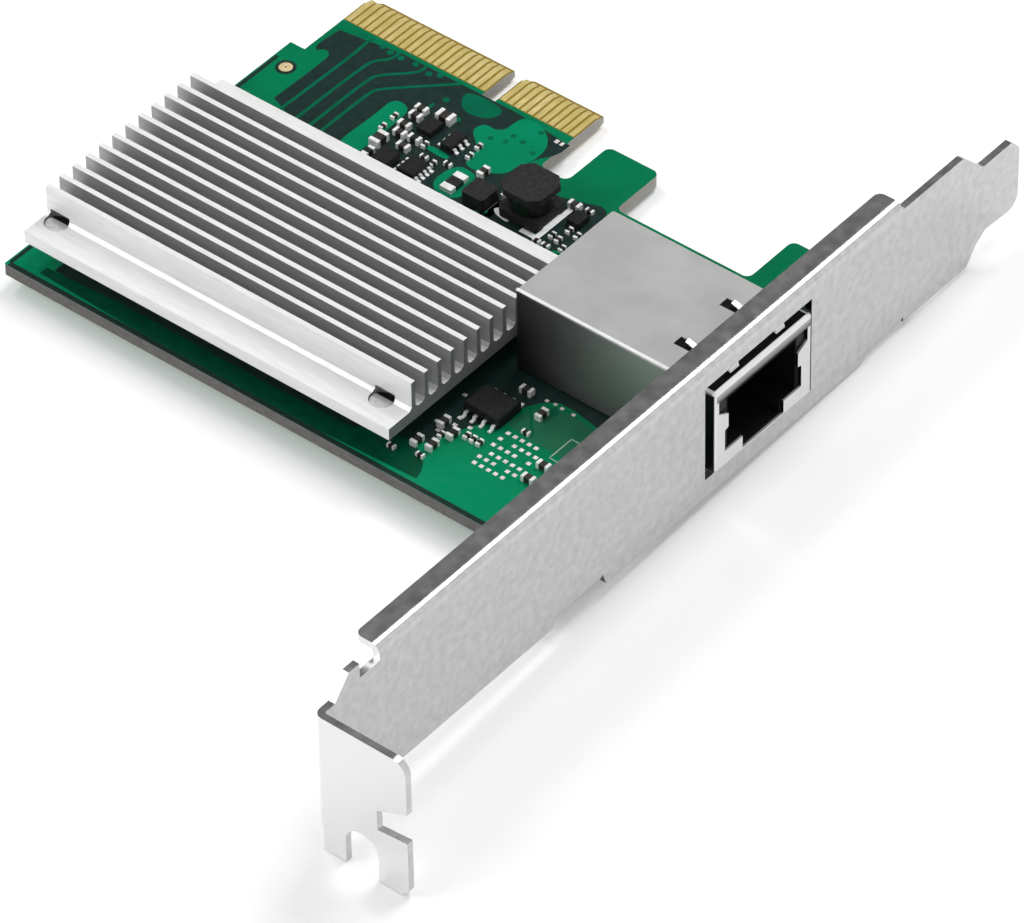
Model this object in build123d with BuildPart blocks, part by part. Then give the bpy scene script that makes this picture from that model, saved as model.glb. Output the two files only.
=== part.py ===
from build123d import *
import os

# Network interface card, millimetres. X = 0 is the outer face of the slot bracket,
# Y = 0 the line of the contact tips and Z = 0 the component side of the board.

# Circuit board
board_gap = 1.9
board_length = 81.3
board_height = 61.4
board_thickness = 1.57
shoulder_depth = 12.2
board_corner = 0.2
cutter_overrun = 1.0

# Edge connector
key_from_face = 59.05
key_width = 1.9
key_depth = 7.4
contact_pitch = 1.0
long_count = 21
short_count = 11
key_to_contact = 1.5
end_margin = 0.55
contact_width = 0.7
contact_length = 4.75
contact_setback = 0.45
contact_thickness = 0.05
bevel_length = 1.3
bevel_drop = 0.35
outer_tip_chamfer = 1.6
key_tip_chamfer = 1.1

# Retention hook and the open window beside it
slot_width = 4.0
slot_depth = 11.6
slot_radius = 1.0
hook_width = 7.4
hook_setback = 4.1
hook_corner = 0.9
window_width = 18.8
window_depth = 12.0
land_setback = 4.0

# Slot bracket, folded sheet steel
sheet = 0.86
bend_radius = 1.1
bracket_low = -2.43
bracket_width = 18.42
bracket_length = 120.1
tongue_reach = 15.2
tongue_bottom = 1.4
tongue_top = 11.4
tongue_chamfer = 1.5
tongue_corner = 1.8
neck_round = 1.2
neck_y = (4.8, 8.4)
neck_low_y = (5.8, 7.4, 9.2)
shoulder_z = 15.1
heel_z = -1.5
heel_y = -5.8
lip_reach = 3.35
lip_y = (-95.2, -6.3)
lip_corner = 0.9
lip_relief_y = (-98.4, -5.9)
lip_relief_z = 14.0
near_slope_y = (-102.4, -100.1)
tab_depth = 11.43
tab_drop = 3.42
tab_rise = 15.7
tab_corner = 1.8
tab_foot_corner = 0.9
notch_width = 4.42
notch_x = 5.21
notch_depth = 5.5
side_notch_x = 7.4
side_notch_inner = (1.6, 4.4)
side_notch_outer = (2.0, 6.1)

# Bracket ears and the screws through them
ear_reach = 9.4
ear_width = (8.3, 7.0)
ear_near_edge = 1.5
ear_far_y = -9.35
ear_bend = 1.8
ear_corner = 1.6
ear_near = 3.6
ear_far = 4.0
screw_x = -5.6
screw_near_edge = 3.9
screw_diameter = 2.9
screw_clearance = 0.3
thread_clearance = 0.04
screw_head_diameter = 5.6
screw_head_height = 1.9
screw_head_bevel = 0.5
cross_width = 0.8
cross_length = 3.2
cross_depth = 1.1

# Jack: plated shield round a moulded housing
jack_y = -31.05
jack_width = 17.0
jack_length = 27.6
jack_height = 11.5
jack_proud = 0.1
jack_standoff = 0.25
shield_sheet = 0.25
shield_edge = 0.35
shield_slot = (-1.9, -0.3)
housing_gap = 0.05
cut_out_low = 0.15
cut_out_top = 13.4
cut_out_near_gap = 1.55
cut_out_far_gap = 0.06
window_half = 7.75
window_top = 9.9
window_step = 8.1
nose_half = 6.1
nose_top = 7.2
nose_low = 5.3
throat_half = 6.7
throat_top = 5.1
throat_low = 2.1
latch_half = 3.6
latch_low = 0.4
plug_width = 11.9
plug_top = 9.1
plug_bottom = 2.1
plug_depth = 13.0
latch_width = 6.4
latch_bottom = 0.65
latch_depth = 9.0
lamp_width = 1.6
lamp_height = 1.9
lamp_depth = 4.0
lamp_gap = 0.04
finger_offset = 4.0
finger_width = 1.5
finger_rise = 1.0
finger_front = -0.7
finger_curl = 0.6
finger_root = -6.4
finger_slot = 1.4
finger_slot_length = 2.2
wire_count = 8
wire_pitch = 1.02
wire_width = 0.45
wire_thickness = 0.3
wire_front = -2.6
wire_back = -10.2
wire_dip = 2.6
pin_size = 0.5
pin_hole = 0.95
pin_tail = 1.3
hole_sides = 8
pin_row_x = (-14.2, -16.74, -20.5, -24.3)
pin_row_pitch = (2.54, 2.54, 13.4, 13.4)
pin_row_count = (5, 4, 2, 2)
peg_x = -8.9
peg_spread = 6.35
peg_diameter = 3.2
peg_collar = 4.0
peg_clearance = 0.05
peg_tail = 0.9
tail_x = -11.9
tail_width = 1.5
tail_length = 0.9
tail_hole = 1.9

# Heatsink: extruded aluminium with the fins along X
sink_to_edge = 1.8
sink_to_jack = 1.25
sink_to_near_edge = 1.7
sink_far = -26.18
sink_lift = 3.0
sink_base = 1.6
fin_first = 3.9
fin_pitch = 2.22
fin_thickness = 0.65
fin_height = 3.9
sink_flange = 4.55
sink_foot = 0.4
sink_hole_left = 1.9
sink_hole_right = 3.75
sink_hole_in = 3.35
bore_radius = 1.5
bore_depth = 1.2
bore_bite = 0.9
anchor_head_radius = 1.4
anchor_head_height = 0.35
anchor_radius = 0.7
anchor_clearance = 0.1
anchor_tail = 0.9

# Controller under the heatsink
ball_height = 0.45
ball_radius = 0.4
ball_pitch = 2.25
ball_rows = 11
ball_ring = 1
substrate_side = 27.0
substrate_thickness = 1.15
cap_side = 21.0
cap_thickness = 0.85
cap_chamfer = 0.3
pad_side = 20.0

# Drum-core power inductor
coil_x = -42.7
coil_y = -18.25
coil_side = 5.7
coil_chamfer = 1.1
coil_foot_chamfer = 0.6
coil_height = 4.4
coil_top = 0.9
coil_foot = 1.1
coil_post_radius = 1.5
coil_wire_radius = 2.6
coil_terminal = 0.25
coil_terminal_width = 1.5

# Shielded choke
choke_x = -48.3
choke_y = -20.45
choke_side = 3.1
choke_height = 1.9
choke_edge = 0.35
choke_terminal = 0.15
choke_terminal_width = 1.0

# Chips with leads: x, y, body across the leads, body along them, height, pitch, lead reach
lead_width = 0.4
lead_thickness = 0.16
lead_level = 0.5
body_lift = 0.12
body_edge = 0.15
small_chips = (
    (-56.9, -14.7, 1.6, 2.9, 1.1, 0.95, 0.65),
    (-57.6, -21.0, 2.4, 3.0, 1.0, 0.75, 0.75),
    (-25.1, -46.6, 3.9, 4.9, 1.5, 1.27, 1.05),
)
quarter_turn_angle = 90
small_chip_angles = (0, 0, quarter_turn_angle)
small_chip_lead_counts = (3, 4, 4)

# Flat chips soldered by their undersides: x, y, length, width, height
flat_chips = (
    (-60.6, -14.4, 2.0, 2.4, 0.9),
    (-60.9, -21.9, 2.2, 2.4, 1.3),
    (-37.45, -16.45, 1.7, 2.0, 0.9),
)
flat_pad = 0.1
flat_pad_inset = 0.15

# Timing crystal
crystal_x = -8.6
crystal_near_edge = 12.4
crystal_length = 5.0
crystal_width = 3.2
crystal_base = 0.7
crystal_lid = 0.45
crystal_rim = 0.3

# Chip parts: length, width and height of each size, then the places of the parts that lie
# along X and of those that lie along Y
size_0805 = (2.1, 1.3, 1.0)
size_0603 = (1.6, 0.8, 0.75)
size_0402 = (1.0, 0.5, 0.45)
end_share = 0.25
end_plating = 0.03
capacitors = (
    (size_0805, ((-60.3, -12.0),), ((-63.8, -19.6),)),
    (size_0603, (
        (-63.4, -12.5), (-63.2, -13.8), (-63.2, -15.8), (-62.7, -17.2), (-60.9, -18.8),
        (-39.3, -14.7), (-14.9, -52.9), (-14.9, -50.3), (-24.0, -42.0), (-47.9, -23.6)), (
        (-51.0, -16.6), (-46.4, -17.9), (-27.9, -51.5), (-26.5, -55.2), (-28.3, -55.6),
        (-20.3, -44.0))),
    (size_0402, (
        (-58.0, -18.6), (-37.5, -14.3), (-37.7, -21.9), (-30.0, -57.9), (-29.9, -24.4),
        (-31.8, -24.4)), (
        (-65.2, -15.2), (-65.1, -17.4), (-56.5, -18.9), (-59.3, -16.9), (-54.3, -13.4),
        (-54.1, -15.3), (-37.2, -18.3), (-37.2, -20.3), (-35.9, -18.5), (-26.9, -53.2))),
)
resistors = (
    (size_0603, ((-60.7, -17.0),), ((-63.4, -22.0), (-39.4, -23.9), (-25.9, -52.4))),
    (size_0402, (
        (-55.1, -17.9), (-39.0, -21.9), (-26.6, -57.1), (-19.9, -47.2), (-33.7, -24.4),
        (-35.6, -24.6)), (
        (-38.2, -20.1), (-35.9, -21.2), (-24.6, -51.6), (-23.7, -51.6), (-22.8, -51.6))),
)
sense_x = -52.46
sense_y = -20.0
sense_length = 3.2
sense_width = 1.65
sense_height = 0.6
sense_end = 0.9

# Plated tooling hole
ring_x = -80.7
ring_y = -16.0
ring_hole = 0.5

# Places that follow from the sizes above
board_right = -board_gap
board_left = board_right - board_length
board_under = -board_thickness
key_x = -key_from_face
short_end = key_x + key_to_contact + (short_count - 1) * contact_pitch + end_margin
long_end = key_x - key_to_contact - (long_count - 1) * contact_pitch - end_margin
slot_right = short_end + slot_width
hook_right = slot_right + hook_width
window_right = hook_right + window_width
bracket_high = bracket_low + bracket_width
tab_face = tongue_reach - bracket_length
tab_low = bracket_low - tab_drop
tab_high = bracket_low + tab_rise
inner_bend = bend_radius - sheet
bend_y = tab_face + bend_radius
lip_bend = bracket_high - bend_radius
ear_bend_z = bracket_low + ear_bend
jack_near = jack_y - jack_width / 2
jack_far = jack_y + jack_width / 2
jack_back = jack_proud - jack_length
housing_inset = shield_sheet + housing_gap
housing_front = jack_proud - housing_inset
sink_left = board_left + sink_to_edge
sink_right = jack_back - sink_to_jack
sink_length = sink_right - sink_left
sink_near = sink_to_near_edge - board_height
sink_floor = sink_lift + sink_base
sink_width = sink_far - sink_near
fin_count = 1 + int((sink_width - fin_first - fin_thickness - sink_flange) / fin_pitch + 0.5)
bore_floor = sink_floor - bore_depth
cap_top = ball_height + substrate_thickness + cap_thickness
ear_y = (-board_height - ear_near_edge, ear_far_y)
screw_y = (screw_near_edge - board_height, ear_far_y)
crystal_y = crystal_near_edge - board_height
ear_screws = [(screw_x, y) for y in screw_y]
cut_out_y = (jack_near - cut_out_near_gap, jack_far + cut_out_far_gap)
anchors = [(x, y) for x in (sink_left + sink_hole_left, sink_right - sink_hole_right)
           for y in (sink_near + sink_hole_in, sink_far - sink_hole_in)]
chip_x = (anchors[0][0] + anchors[-1][0]) / 2
chip_y = (sink_near + sink_far) / 2
pins = [(x, jack_y + (i - (count - 1) / 2) * pitch)
        for x, count, pitch in zip(pin_row_x, pin_row_count, pin_row_pitch) for i in range(count)]
pegs = [(peg_x, jack_y - peg_spread), (peg_x, jack_y + peg_spread)]
tails = [(tail_x, jack_near + shield_sheet / 2), (tail_x, jack_far - shield_sheet / 2)]
fingers = [jack_y - finger_offset, jack_y + finger_offset]
lamps = [jack_y - window_half + lamp_width / 2, jack_y + window_half - lamp_width / 2]
wires = [jack_y + (i - (wire_count - 1) / 2) * wire_pitch for i in range(wire_count)]
contacts = [key_x - key_to_contact - i * contact_pitch for i in range(long_count)]
contacts += [key_x + key_to_contact + i * contact_pitch for i in range(short_count)]
balls = [(chip_x + (i - (ball_rows - 1) / 2) * ball_pitch,
          chip_y + (j - (ball_rows - 1) / 2) * ball_pitch)
         for i in range(ball_rows) for j in range(ball_rows)
         if min(i, j, ball_rows - 1 - i, ball_rows - 1 - j) < ball_ring]
upright = (Align.CENTER, Align.CENTER, Align.MIN)
hanging = (Align.CENTER, Align.CENTER, Align.MAX)


def save(part, name):
    part.label = name
    export_step(part, "parts/" + name + ".step")


def block(x, y, z, mode=Mode.ADD):
    """A box given by its two limits along each axis."""
    with Locations(((x[0] + x[1]) / 2, (y[0] + y[1]) / 2, (z[0] + z[1]) / 2)):
        Box(x[1] - x[0], y[1] - y[0], z[1] - z[0], mode=mode)


def at(places, z):
    """The same list of places, raised to one height."""
    return Locations(*[(x, y, z) for x, y in places])


os.makedirs("parts", exist_ok=True)

# Circuit board, routed to its outline and bevelled along the contact tips
with BuildPart() as pcb:
    with BuildSketch():
        with BuildLine():
            Polyline(
                (board_left, -board_height),
                (board_right, -board_height),
                (board_right, -land_setback),
                (window_right, -land_setback),
                (window_right, -window_depth),
                (hook_right, -window_depth),
                (hook_right, -hook_setback),
                (slot_right, -hook_setback),
                (slot_right, -slot_depth),
                (short_end, -slot_depth),
                (short_end, 0),
                (long_end, 0),
                (long_end, -shoulder_depth),
                (board_left, -shoulder_depth),
                close=True,
            )
        make_face()
        with Locations((key_x, -key_depth / 2)):
            Rectangle(key_width, key_depth, mode=Mode.SUBTRACT)
    extrude(amount=-board_thickness)
    uprights = pcb.edges().filter_by(Axis.Z)
    fillet(uprights.filter_by(lambda e: abs(e.center().Y + key_depth) < 0.01), key_width / 2 - 0.01)
    uprights = pcb.edges().filter_by(Axis.Z)
    fillet(uprights.filter_by(lambda e: abs(e.center().Y + slot_depth) < 0.01), slot_radius)
    tips = pcb.edges().filter_by(Axis.Z).filter_by(lambda e: abs(e.center().Y) < 0.01)
    chamfer(tips.sort_by(Axis.X)[0], outer_tip_chamfer)
    tips = pcb.edges().filter_by(Axis.Z).filter_by(lambda e: abs(e.center().Y) < 0.01)
    chamfer(tips.sort_by(Axis.X)[-2], key_tip_chamfer)
    corners = pcb.edges().filter_by(Axis.Z).filter_by(
        lambda e: min(abs(e.center().Y + d) for d in (window_depth, hook_setback, land_setback)) < 0.01)
    fillet(corners.filter_by(lambda e: e.center().X < board_right - 0.1), hook_corner)
    corners = pcb.edges().filter_by(Axis.Z).filter_by(lambda e: abs(e.center().Y + board_height) < 0.01)
    fillet(corners, board_corner)
    with BuildSketch(Plane.YZ.offset(long_end - cutter_overrun)):
        with BuildLine():
            Polyline((0.1, 0.1), (-bevel_length, 0), (0, -bevel_drop), (0.1, -bevel_drop), close=True)
        make_face()
        mirror(about=Plane.XZ.offset(board_thickness / 2))
    extrude(amount=short_end - long_end + 2 * cutter_overrun, mode=Mode.SUBTRACT)
    with at(ear_screws, 0):
        Hole((screw_diameter + screw_clearance) / 2)
    with BuildSketch():
        with Locations(*pins):
            RegularPolygon(pin_hole / 2, hole_sides)
        with Locations(*anchors):
            RegularPolygon(anchor_radius + anchor_clearance, hole_sides, major_radius=False)
    extrude(amount=-board_thickness, mode=Mode.SUBTRACT)
    with at(tails, 0):
        Hole(tail_hole / 2)
    with at(pegs, 0):
        Hole(peg_diameter / 2 + peg_clearance)
    with at([(ring_x, ring_y)], 0):
        Hole(ring_hole)
save(pcb.part, "pcb")

# One contact, lying on the board and following its bevel
with BuildPart() as contact:
    root = -contact_setback - contact_length
    tip_drop = bevel_drop * (bevel_length - contact_setback) / bevel_length
    with BuildSketch(Plane.YZ):
        with BuildLine():
            Polyline(
                (root, 0),
                (-bevel_length, 0),
                (-contact_setback, -tip_drop),
                (-contact_setback, contact_thickness - tip_drop),
                (-bevel_length, contact_thickness),
                (root, contact_thickness),
                close=True,
            )
        make_face()
    extrude(amount=contact_width / 2, both=True)

with BuildPart() as edge_contacts_top:
    with Locations(*[(x, 0, 0) for x in contacts]):
        add(contact.part)
save(edge_contacts_top.part, "edge_contacts_top")

with BuildPart() as edge_contacts_bottom:
    mirror(edge_contacts_top.part, about=Plane.XY.offset(board_under / 2))
save(edge_contacts_bottom.part, "edge_contacts_bottom")

# Slot bracket: the flat plate first, then the folded tab, lip and ears
with BuildPart() as bracket:
    with BuildSketch(Plane.YZ):
        with BuildLine():
            Polyline(
                (bend_y, bracket_low),
                (ear_y[0] - ear_width[0] / 2, bracket_low),
                (ear_y[0] - ear_width[0] / 2, ear_bend_z),
                (ear_y[0] + ear_width[0] / 2, ear_bend_z),
                (ear_y[0] + ear_width[0] / 2 + 0.6, bracket_low),
                (ear_y[1] - ear_width[1] / 2 - 0.3, bracket_low),
                (ear_y[1] - ear_width[1] / 2, ear_bend_z),
                (heel_y, ear_bend_z),
                (heel_y, heel_z),
                (neck_low_y[0], heel_z),
                (neck_low_y[1], tongue_bottom - 0.8),
                (neck_low_y[2], tongue_bottom + 0.4),
                (tongue_reach, tongue_bottom),
                (tongue_reach, tongue_top - tongue_chamfer),
                (tongue_reach - tongue_chamfer, tongue_top),
                (neck_y[1], tongue_top),
                (neck_y[0], shoulder_z),
                (lip_relief_y[1], shoulder_z),
                (lip_y[1], lip_bend),
                (lip_y[0], lip_bend),
                (lip_y[0], lip_relief_z),
                (lip_relief_y[0], lip_relief_z),
                (lip_relief_y[0], bracket_high),
                (near_slope_y[1], bracket_high),
                (near_slope_y[0], tab_high),
                (bend_y, tab_high),
                close=True,
            )
        make_face()
    extrude(amount=-sheet)
    corners = bracket.edges().filter_by(Axis.X)
    fillet(corners.filter_by(lambda e: e.center().Y > neck_y[0] - 0.1 and e.center().Y < neck_y[1] + 0.1
                             and e.center().Z > tongue_top - 0.1), neck_round)
    corners = bracket.edges().filter_by(Axis.X)
    fillet(corners.filter_by(lambda e: e.center().Y > tongue_reach - 0.1
                             and e.center().Z < tongue_top - tongue_chamfer + 0.1), tongue_corner)

    # Tab with its two notches
    with BuildSketch(Plane.XY.offset(bracket_low)):
        with BuildLine():
            RadiusArc((0, bend_y), (inner_bend, bend_y - inner_bend), -inner_bend)
            Line((inner_bend, bend_y - inner_bend), (inner_bend, tab_face))
            RadiusArc((inner_bend, tab_face), (-sheet, bend_y), bend_radius)
            Line((-sheet, bend_y), (0, bend_y))
        make_face()
    extrude(amount=tab_rise)
    with BuildSketch(Plane.XZ.offset(-tab_face - sheet)):
        with BuildLine():
            Polyline(
                (inner_bend, bracket_low),
                (0, bracket_low),
                (0, tab_low),
                (tab_depth, tab_low),
                (tab_depth, side_notch_outer[0]),
                (side_notch_x, side_notch_inner[0]),
                (side_notch_x, side_notch_inner[1]),
                (tab_depth, side_notch_outer[1]),
                (tab_depth, tab_high),
                (inner_bend, tab_high),
                close=True,
            )
        make_face()
        with Locations((notch_x, tab_low)):
            Rectangle(notch_width, 2 * notch_depth - notch_width, mode=Mode.SUBTRACT)
        with Locations((notch_x, tab_low + notch_depth - notch_width / 2)):
            Circle(notch_width / 2, mode=Mode.SUBTRACT)
    extrude(amount=sheet)
    outer = bracket.edges().filter_by(Axis.Y).filter_by(lambda e: e.center().X > tab_depth - 0.1)
    fillet(outer.filter_by(lambda e: e.center().Z > tab_high - 0.1), tab_corner)
    outer = bracket.edges().filter_by(Axis.Y).filter_by(lambda e: e.center().X > tab_depth - 0.1)
    chamfer(outer.filter_by(lambda e: e.center().Z < tab_low + 0.1), tab_foot_corner)

    # Lip along the component side
    with BuildSketch(Plane.XZ.offset(-lip_y[1])):
        with BuildLine():
            RadiusArc((-sheet, lip_bend), (-bend_radius, bracket_high - sheet), inner_bend)
            Polyline(
                (-bend_radius, bracket_high - sheet),
                (-lip_reach, bracket_high - sheet),
                (-lip_reach, bracket_high),
                (-bend_radius, bracket_high),
            )
            RadiusArc((-bend_radius, bracket_high), (0, lip_bend), bend_radius)
            Line((0, lip_bend), (-sheet, lip_bend))
        make_face()
    extrude(amount=lip_y[1] - lip_y[0])
    lip_ends = bracket.edges().filter_by(Axis.Z).filter_by(lambda e: e.center().X < 0.1 - lip_reach)
    fillet(lip_ends, lip_corner)

    # Ears under the board, the near one stepped sideways to its screw
    for y, width, hole_y in zip(ear_y, ear_width, screw_y):
        near = y - width / 2
        far = y + width / 2
        with BuildSketch(Plane.XZ.offset(-far)):
            with BuildLine():
                RadiusArc((0, ear_bend_z), (-ear_bend, bracket_low), ear_bend)
                Line((-ear_bend, bracket_low), (-ear_bend, bracket_low + sheet))
                RadiusArc((-ear_bend, bracket_low + sheet), (-sheet, ear_bend_z), sheet - ear_bend)
                Line((-sheet, ear_bend_z), (0, ear_bend_z))
            make_face()
        extrude(amount=width)
        with BuildSketch(Plane.XY.offset(bracket_low)):
            with BuildLine():
                Polyline(
                    (-ear_bend, near),
                    (-ear_bend, far),
                    (-ear_bend - 0.3, max(far, hole_y + ear_far)),
                    (-ear_reach, max(far, hole_y + ear_far)),
                    (-ear_reach, hole_y - ear_near),
                    (screw_x + 0.6, min(near, hole_y - ear_near)),
                    close=True,
                )
            make_face()
        extrude(amount=sheet)
    ear_ends = bracket.edges().filter_by(Axis.Z).filter_by(lambda e: e.center().X < 0.1 - ear_reach)
    fillet(ear_ends, ear_corner)
    with at(ear_screws, bracket_low + sheet / 2):
        Cylinder((screw_diameter + thread_clearance) / 2, 2 * sheet, mode=Mode.SUBTRACT)
    block((-sheet - 0.1, 0.1), cut_out_y, (cut_out_low, cut_out_top), Mode.SUBTRACT)
save(bracket.part, "bracket")

# Pan-head screws through the board into the ears
with BuildPart() as screw:
    Cylinder(screw_head_diameter / 2, screw_head_height, align=upright)
    chamfer(screw.edges().group_by(Axis.Z)[-1], screw_head_bevel)
    with Locations((0, 0, screw_head_height - cross_depth)):
        Box(cross_length, cross_width, screw_head_height, align=upright, mode=Mode.SUBTRACT)
        Box(cross_width, cross_length, screw_head_height, align=upright, mode=Mode.SUBTRACT)
    Cylinder(screw_diameter / 2, -bracket_low, align=hanging)

with BuildPart() as bracket_screws:
    with at(ear_screws, 0):
        add(screw.part)
save(bracket_screws.part, "bracket_screws")

# Jack shield: thin box, open below and cut to the plug's outline in front
with BuildPart() as jack_shield:
    block((jack_back, jack_proud), (jack_near, jack_far), (jack_standoff, jack_height))
    fillet(jack_shield.edges().filter_by(lambda e: e.center().Z > jack_standoff + 0.01), shield_edge)
    block((jack_back + shield_sheet, jack_proud - shield_sheet),
          (jack_near + shield_sheet, jack_far - shield_sheet),
          (jack_standoff - cutter_overrun, jack_height - shield_sheet), Mode.SUBTRACT)
    with BuildSketch(Plane.YZ.offset(jack_proud - shield_sheet - cutter_overrun)):
        with BuildLine():
            Polyline(
                (jack_y, window_top),
                (jack_y + window_half, window_top),
                (jack_y + window_half, window_step),
                (jack_y + nose_half, nose_top),
                (jack_y + nose_half, nose_low),
                (jack_y + throat_half, throat_top),
                (jack_y + throat_half, throat_low),
                (jack_y + latch_half, throat_low),
                (jack_y + latch_half, latch_low),
                (jack_y, latch_low),
            )
            mirror(about=Plane.YZ.offset(jack_y))
        make_face()
    extrude(amount=shield_sheet + 2 * cutter_overrun, mode=Mode.SUBTRACT)
    block(shield_slot, (jack_near - cutter_overrun, jack_far + cutter_overrun),
          (jack_height - shield_edge, jack_height + cutter_overrun), Mode.SUBTRACT)
    for y in fingers:
        block((finger_root - finger_slot_length, finger_root),
              (y - finger_slot / 2, y + finger_slot / 2),
              (jack_height - 2 * shield_sheet, jack_height + cutter_overrun), Mode.SUBTRACT)
        with BuildSketch(Plane.XZ.offset(-y - finger_width / 2)):
            with BuildLine():
                Polyline(
                    (finger_root, jack_height - shield_sheet),
                    (finger_root + 1, jack_height - shield_sheet),
                    (finger_front - finger_curl, jack_height + finger_rise - shield_sheet),
                    (finger_front - shield_sheet, jack_height + shield_sheet / 2),
                    (finger_front, jack_height + shield_sheet / 2),
                    (finger_front - shield_sheet, jack_height + finger_rise - shield_sheet / 2),
                    (finger_front - finger_curl, jack_height + finger_rise),
                    (finger_root + 0.8, jack_height + 0.02),
                    (finger_root, jack_height),
                    close=True,
                )
            make_face()
        extrude(amount=finger_width)
        with BuildSketch(Plane.XZ.offset(-y - finger_slot / 2)):
            with BuildLine():
                Polyline(
                    (finger_root, jack_height - shield_sheet),
                    (finger_root - 1.1, jack_height + 0.15),
                    (finger_root - 1.1, jack_height + 0.35),
                    (finger_root, jack_height),
                    close=True,
                )
            make_face()
        extrude(amount=finger_slot / 2)
    for x, y in tails:
        block((x - tail_width / 2, x + tail_width / 2), (y - shield_sheet / 2, y + shield_sheet / 2),
              (board_under - tail_length, jack_standoff + 1))
save(jack_shield.part, "jack_shield")

# Jack housing: plug cavity with its latch step, pockets for the lamps, pegs and collars
with BuildPart() as jack_housing:
    block((jack_back + housing_inset, housing_front),
          (jack_near + housing_inset, jack_far - housing_inset),
          (jack_standoff, jack_height - housing_inset))
    block((-plug_depth, cutter_overrun), (jack_y - plug_width / 2, jack_y + plug_width / 2),
          (plug_bottom, plug_top), Mode.SUBTRACT)
    block((-latch_depth, cutter_overrun), (jack_y - latch_width / 2, jack_y + latch_width / 2),
          (latch_bottom, plug_bottom + 0.5), Mode.SUBTRACT)
    for y in lamps:
        block((housing_front - lamp_depth - lamp_gap, cutter_overrun),
              (y - lamp_width / 2 - lamp_gap, y + lamp_width / 2 + lamp_gap),
              (window_top - lamp_height - lamp_gap, window_top + lamp_gap), Mode.SUBTRACT)
    with at(pegs, 0):
        Cylinder(peg_collar / 2, jack_standoff, align=upright)
    with at(pegs, board_under - peg_tail):
        Cylinder(peg_diameter / 2, board_thickness + peg_tail, align=upright)
save(jack_housing.part, "jack_housing")

with BuildPart() as jack_lamps:
    for y in lamps:
        block((housing_front - lamp_depth, housing_front),
              (y - lamp_width / 2, y + lamp_width / 2),
              (window_top - lamp_height, window_top + lamp_gap))
save(jack_lamps.part, "jack_lamps")

# Spring wires hanging from the roof of the plug cavity
with BuildPart() as jack_wires:
    for y in wires:
        with BuildSketch(Plane.XZ.offset(-y - wire_width / 2)):
            with BuildLine():
                Polyline(
                    (wire_front, plug_top),
                    (wire_front + 0.5, plug_top),
                    (wire_front + 0.3, plug_top - 0.6),
                    (wire_back, plug_top - wire_dip),
                    (wire_back, plug_top - wire_dip + wire_thickness),
                    (wire_front - 0.1, plug_top - 0.3),
                    close=True,
                )
            make_face()
        extrude(amount=wire_width)
save(jack_wires.part, "jack_wires")

with BuildPart() as jack_pins:
    with at(pins, board_under - pin_tail):
        Box(pin_size, pin_size, board_thickness + pin_tail + jack_standoff, align=upright)
save(jack_pins.part, "jack_pins")

# Heatsink, extruded to its finned section and bored for four anchors
with BuildPart() as heatsink:
    with BuildSketch(Plane.YZ.offset(sink_left)) as section:
        with Locations((sink_near, sink_lift)):
            Rectangle(sink_width, sink_base, align=(Align.MIN, Align.MIN))
        for i in range(fin_count):
            with Locations((sink_near + fin_first + i * fin_pitch, sink_floor - 0.2)):
                Rectangle(fin_thickness, fin_height + 0.2, align=(Align.MIN, Align.MIN))
        feet = section.vertices().filter_by(
            lambda v: abs(v.Y - sink_floor) < 0.01
            and sink_near + 1 < v.X < sink_near + sink_width - 1)
        chamfer(feet, sink_foot)
    extrude(amount=sink_length)
    with BuildSketch(Plane.XY.offset(sink_lift)):
        with Locations(*anchors):
            RegularPolygon(anchor_radius + anchor_clearance, hole_sides, major_radius=False)
    extrude(amount=sink_base, mode=Mode.SUBTRACT)
    with at(anchors, bore_floor):
        Cylinder(bore_radius, bore_depth + bore_bite, align=upright, mode=Mode.SUBTRACT)
save(heatsink.part, "heatsink")

with BuildPart() as heatsink_anchors:
    with at(anchors, bore_floor):
        Cylinder(anchor_head_radius, anchor_head_height, align=upright)
        Cylinder(anchor_radius, bore_floor + board_thickness + anchor_tail, align=hanging)
save(heatsink_anchors.part, "heatsink_anchors")

# Controller: solder balls, substrate, metal cap and the pad that meets the heatsink
with BuildPart() as controller_balls:
    with BuildSketch():
        with Locations(*balls):
            RegularPolygon(ball_radius, 6)
    extrude(amount=ball_height)
save(controller_balls.part, "controller_balls")

with BuildPart() as controller_substrate:
    with at([(chip_x, chip_y)], ball_height):
        Box(substrate_side, substrate_side, substrate_thickness, align=upright)
save(controller_substrate.part, "controller_substrate")

with BuildPart() as controller_cap:
    with at([(chip_x, chip_y)], ball_height + substrate_thickness):
        Box(cap_side, cap_side, cap_thickness, align=upright)
    chamfer(controller_cap.edges().group_by(Axis.Z)[-1], cap_chamfer)
save(controller_cap.part, "controller_cap")

with BuildPart() as thermal_pad:
    with at([(chip_x, chip_y)], cap_top):
        Box(pad_side, pad_side, sink_lift - cap_top, align=upright)
save(thermal_pad.part, "thermal_pad")

# Power inductor: two octagonal flanges on a post, the winding between, two terminals
with BuildPart() as inductor_core:
    with BuildSketch(Plane.XY.offset(coil_terminal)) as foot:
        with Locations((coil_x, coil_y)):
            Rectangle(coil_side, coil_side)
        chamfer(foot.vertices(), coil_foot_chamfer)
    extrude(amount=coil_foot)
    with BuildSketch(Plane.XY.offset(coil_height - coil_top)) as flange:
        with Locations((coil_x, coil_y)):
            Rectangle(coil_side, coil_side)
        chamfer(flange.vertices(), coil_chamfer)
    extrude(amount=coil_top)
    with at([(coil_x, coil_y)], coil_terminal + coil_foot / 2):
        Cylinder(coil_post_radius, coil_height - coil_top - coil_terminal, align=upright)
save(inductor_core.part, "inductor_core")

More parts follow.
